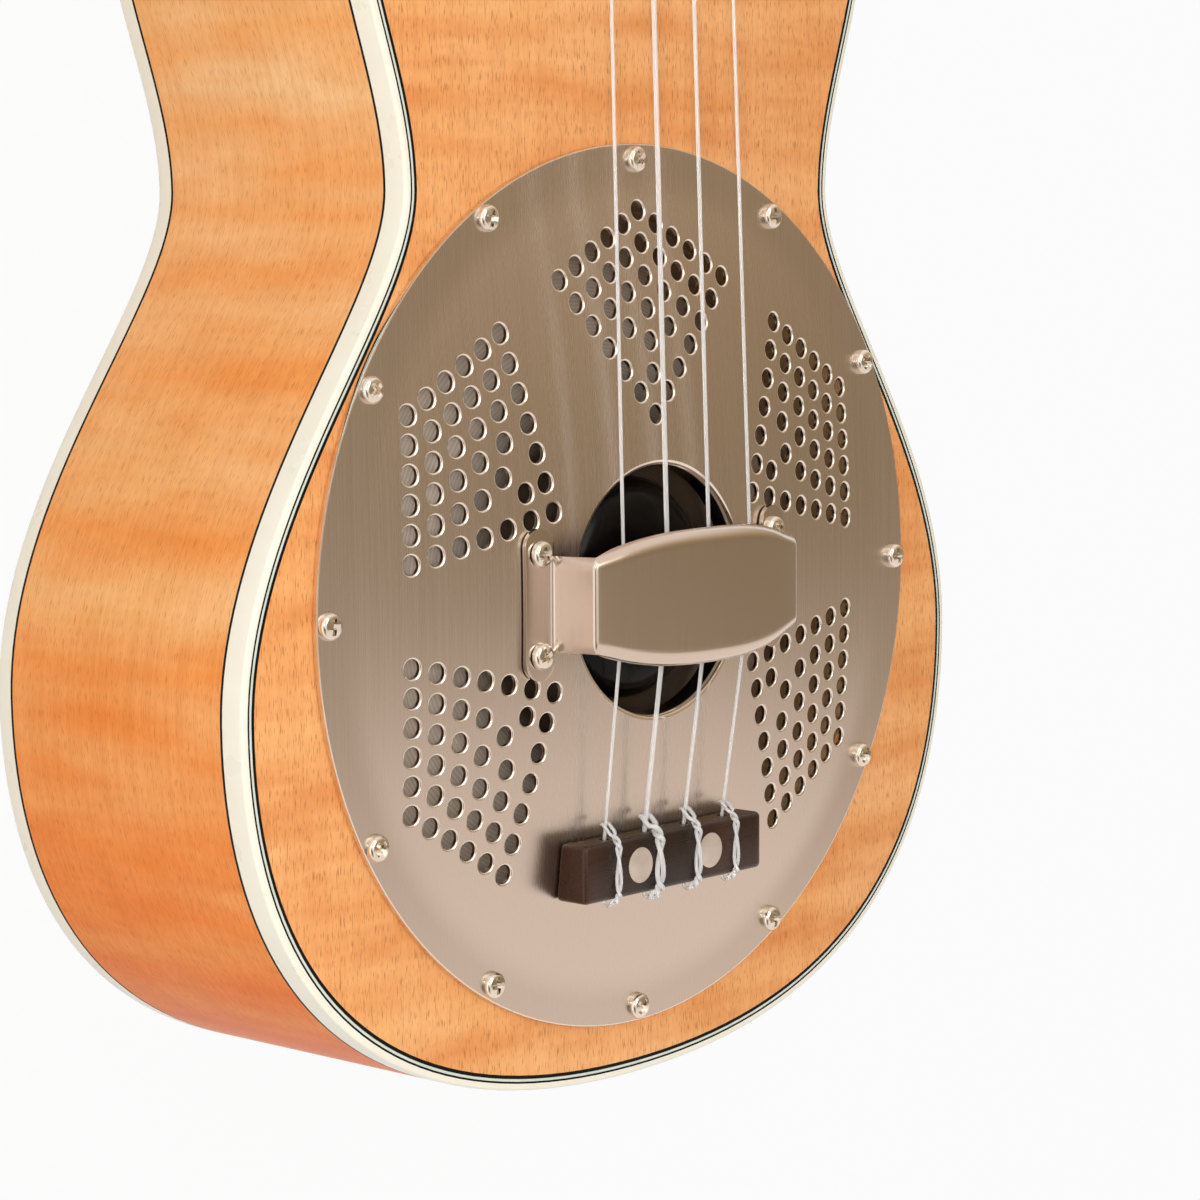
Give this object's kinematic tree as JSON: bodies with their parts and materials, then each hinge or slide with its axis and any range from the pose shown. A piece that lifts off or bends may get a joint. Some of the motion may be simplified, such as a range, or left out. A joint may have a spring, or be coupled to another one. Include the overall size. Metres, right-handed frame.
{
  "type": "resonator ukulele",
  "caption": "Small wooden figure-eight body with a domed perforated metal coverplate over a spun cone, palm rest, tie block, nylon strings, fretted neck and geared tuners.",
  "frame": {"origin": "on the flat back, under the centre of the coverplate", "axes": "+Z from the back to the strings, +Y along the strings to the headstock, +X to the treble side"},
  "size_m": [0.2086, 0.6191, 0.0902],
  "materials": {
    "honey_wood": "clear gloss over figured wood",
    "side_wood": "clear gloss",
    "neck_wood": "satin",
    "inner_wood": "bare",
    "rosewood": "oiled",
    "black_maple": "black lacquer",
    "cream_binding": "gloss",
    "purfling": "black and white lines",
    "nickel": "brushed warm nickel",
    "chrome": "polished",
    "spun_aluminium": "spun",
    "bone": "polished bone",
    "pearl": "pearl",
    "nylon": "clear nylon"
  },
  "bodies": {
    "instrument": {"body_top": "honey_wood", "body_sides": "side_wood", "body_back": "side_wood", "neck": "neck_wood", "back_lining": "inner_wood", "top_lining": "inner_wood", "neck_block": "inner_wood", "tail_block": "inner_wood", "back_brace": "inner_wood", "soundwell": "inner_wood", "tie_block": "rosewood", "fretboard": "rosewood", "bridge_biscuit": "black_maple", "top_binding": "cream_binding", "back_binding": "cream_binding", "top_purfling": "purfling", "coverplate": "nickel", "palm_rest": "nickel", "coverplate_screw_01": "chrome", "coverplate_screw_02": "chrome", "coverplate_screw_03": "chrome", "coverplate_screw_04": "chrome", "coverplate_screw_05": "chrome", "coverplate_screw_06": "chrome", "coverplate_screw_07": "chrome", "coverplate_screw_08": "chrome", "coverplate_screw_09": "chrome", "coverplate_screw_10": "chrome", "coverplate_screw_11": "chrome", "coverplate_screw_12": "chrome", "palm_rest_screw_1": "chrome", "palm_rest_screw_2": "chrome", "palm_rest_screw_3": "chrome", "palm_rest_screw_4": "chrome", "biscuit_screw": "chrome", "tuner_plate_1": "chrome", "tuner_plate_2": "chrome", "tuner_plate_3": "chrome", "tuner_plate_4": "chrome", "tuner_bushing_1": "chrome", "tuner_bushing_2": "chrome", "tuner_bushing_3": "chrome", "tuner_bushing_4": "chrome", "resonator_cone": "spun_aluminium", "saddle": "bone", "nut": "bone", "tie_block_dot_1": "pearl", "tie_block_dot_2": "pearl", "string_g": "nylon", "string_c": "nylon", "string_e": "nylon", "string_a": "nylon"},
    "post_1": {"tuner_post_1": "chrome"},
    "button_1": {"tuner_button_1": "chrome"},
    "post_2": {"tuner_post_2": "chrome"},
    "button_2": {"tuner_button_2": "chrome"},
    "post_3": {"tuner_post_3": "chrome"},
    "button_3": {"tuner_button_3": "chrome"},
    "post_4": {"tuner_post_4": "chrome"},
    "button_4": {"tuner_button_4": "chrome"}
  },
  "joints": [
    {"name": "post_turn_1", "type": "hinge", "parent": "instrument", "child": "post_1", "pos_m": [-0.017, 0.42913, 0.05465], "axis": [0, 0.2079, 0.9781], "continuous": true},
    {"name": "button_turn_1", "type": "hinge", "parent": "instrument", "child": "button_1", "pos_m": [-0.017, 0.43288, 0.03596], "axis": [-1, 0, 0], "continuous": true},
    {"name": "post_turn_2", "type": "hinge", "parent": "instrument", "child": "post_2", "pos_m": [-0.017, 0.47315, 0.04529], "axis": [0, 0.2079, 0.9781], "continuous": true},
    {"name": "button_turn_2", "type": "hinge", "parent": "instrument", "child": "button_2", "pos_m": [-0.017, 0.4769, 0.0266], "axis": [-1, 0, 0], "continuous": true},
    {"name": "post_turn_3", "type": "hinge", "parent": "instrument", "child": "post_3", "pos_m": [0.017, 0.47315, 0.04529], "axis": [0, 0.2079, 0.9781], "continuous": true},
    {"name": "button_turn_3", "type": "hinge", "parent": "instrument", "child": "button_3", "pos_m": [0.017, 0.4769, 0.0266], "axis": [1, 0, 0], "continuous": true},
    {"name": "post_turn_4", "type": "hinge", "parent": "instrument", "child": "post_4", "pos_m": [0.017, 0.42913, 0.05465], "axis": [0, 0.2079, 0.9781], "continuous": true},
    {"name": "button_turn_4", "type": "hinge", "parent": "instrument", "child": "button_4", "pos_m": [0.017, 0.43288, 0.03596], "axis": [1, 0, 0], "continuous": true}
  ],
  "couplings": [
    {"joint": "post_turn_1", "follows": "button_turn_1", "ratio": 0.083333},
    {"joint": "post_turn_2", "follows": "button_turn_2", "ratio": 0.083333},
    {"joint": "post_turn_3", "follows": "button_turn_3", "ratio": 0.083333},
    {"joint": "post_turn_4", "follows": "button_turn_4", "ratio": 0.083333}
  ]
}
